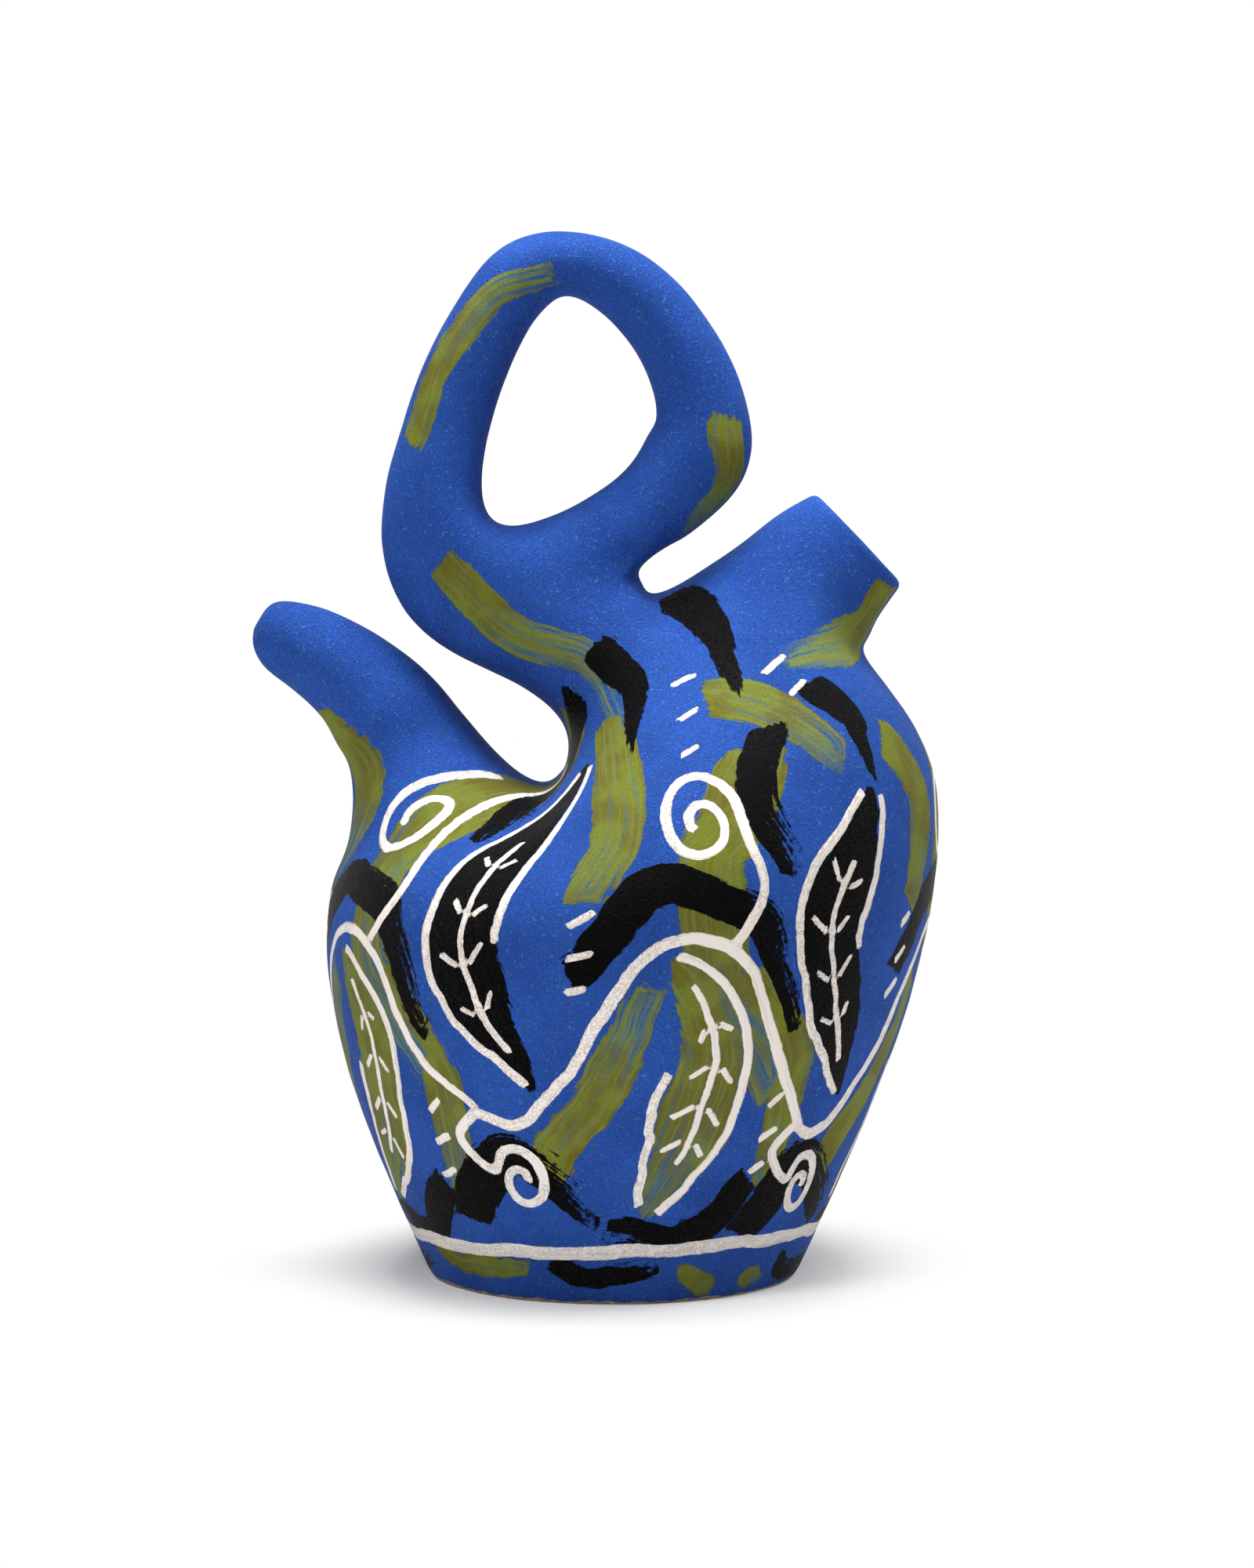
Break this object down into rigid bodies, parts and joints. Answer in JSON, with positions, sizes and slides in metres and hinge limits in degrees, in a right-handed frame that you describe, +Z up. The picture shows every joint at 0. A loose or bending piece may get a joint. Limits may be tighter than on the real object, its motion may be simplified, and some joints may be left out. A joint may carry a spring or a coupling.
{
  "type": "spouted water jug",
  "caption": "Free-standing hollow clay water jug with a slanted filler neck, a narrow bent pouring spout and a ring handle on a leaning stem, painted in matte slip.",
  "frame": {"origin": "centre of the flat underside that the jug stands on", "axes": "+Z up, +X towards the filler neck, -X towards the pouring spout, +Y across the jug"},
  "size_m": [0.2625, 0.232, 0.3999],
  "materials": {
    "floor_disc": "bare fired clay",
    "lower_wall": "matte slip paint",
    "shoulder": "matte slip paint",
    "spout": "matte slip paint",
    "filler_neck": "matte slip paint",
    "handle_stem": "matte slip paint",
    "handle_loop": "matte slip paint"
  },
  "bodies": {
    "root": {"floor_disc": "floor_disc", "lower_wall": "lower_wall", "shoulder": "shoulder", "spout": "spout", "filler_neck": "filler_neck", "handle_stem": "handle_stem", "handle_loop": "handle_loop"}
  },
  "joints": []
}
